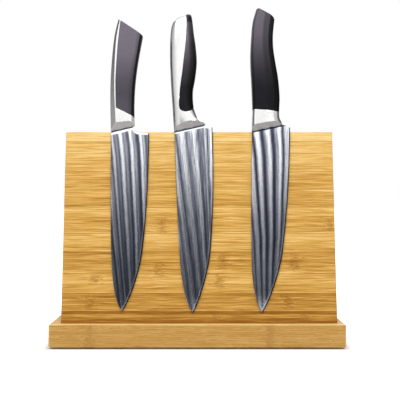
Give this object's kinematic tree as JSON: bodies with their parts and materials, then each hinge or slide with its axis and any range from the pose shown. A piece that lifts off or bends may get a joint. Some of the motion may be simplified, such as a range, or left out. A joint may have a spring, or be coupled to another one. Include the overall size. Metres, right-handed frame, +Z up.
{
  "type": "knife block with knives",
  "caption": "Magnetic bamboo knife block: two leaning panels on a flat base, with chef's knives hanging point down on the front panel.",
  "frame": {"origin": "on the floor, under the centre of the base board", "axes": "+X to the right seen from the front, +Y towards the back panel, +Z up"},
  "size_m": [0.32, 0.14, 0.3803],
  "materials": {
    "bamboo": "oiled laminated bamboo",
    "base_bamboo": "oiled bamboo board",
    "dowel_wood": "bare beech",
    "blade_steel": "fluted, bright satin",
    "handle_steel": "polished satin",
    "keeper_steel": "bare mild steel",
    "magnet": "sintered magnet, matt",
    "screw_steel": "yellow zinc",
    "pin_steel": "bare steel",
    "grip_black": "fine matt, slightly worn",
    "foot_rubber": "matt"
  },
  "bodies": {
    "block": {"back_backing_board": "bamboo", "back_face_board": "bamboo", "back_lower_keeper": "keeper_steel", "back_lower_magnet_1": "magnet", "back_lower_magnet_2": "magnet", "back_lower_magnet_3": "magnet", "back_lower_magnet_4": "magnet", "back_upper_keeper": "keeper_steel", "back_upper_magnet_1": "magnet", "back_upper_magnet_2": "magnet", "back_upper_magnet_3": "magnet", "back_upper_magnet_4": "magnet", "base_board": "base_bamboo", "base_screw_back_left": "screw_steel", "base_screw_back_middle": "screw_steel", "base_screw_back_right": "screw_steel", "base_screw_front_left": "screw_steel", "base_screw_front_middle": "screw_steel", "base_screw_front_right": "screw_steel", "foot_back_left": "foot_rubber", "foot_back_right": "foot_rubber", "foot_front_left": "foot_rubber", "foot_front_right": "foot_rubber", "front_backing_board": "bamboo", "front_face_board": "bamboo", "front_lower_keeper": "keeper_steel", "front_lower_magnet_1": "magnet", "front_lower_magnet_2": "magnet", "front_lower_magnet_3": "magnet", "front_lower_magnet_4": "magnet", "front_upper_keeper": "keeper_steel", "front_upper_magnet_1": "magnet", "front_upper_magnet_2": "magnet", "front_upper_magnet_3": "magnet", "front_upper_magnet_4": "magnet", "ridge_dowel_left": "dowel_wood", "ridge_dowel_middle": "dowel_wood", "ridge_dowel_right": "dowel_wood"},
    "left_knife": {"left_blade": "blade_steel", "left_pin_1": "pin_steel", "left_pin_2": "pin_steel", "left_scale_back": "grip_black", "left_scale_front": "grip_black", "left_spine_frame": "handle_steel"},
    "middle_knife": {"middle_blade": "blade_steel", "middle_handle": "handle_steel", "middle_inlay": "grip_black", "middle_pin_1": "pin_steel", "middle_pin_2": "pin_steel"},
    "right_knife": {"right_blade": "blade_steel", "right_bolster": "handle_steel", "right_grip": "grip_black", "right_pin_1": "pin_steel"}
  },
  "joints": [
    {"name": "left_knife_lift", "type": "slide", "parent": "block", "child": "left_knife", "axis": [0, -0.9816, 0.1908], "range_m": [0, 0.15]},
    {"name": "middle_knife_lift", "type": "slide", "parent": "block", "child": "middle_knife", "axis": [0, -0.9816, 0.1908], "range_m": [0, 0.15]},
    {"name": "right_knife_lift", "type": "slide", "parent": "block", "child": "right_knife", "axis": [0, -0.9816, 0.1908], "range_m": [0, 0.15]}
  ]
}
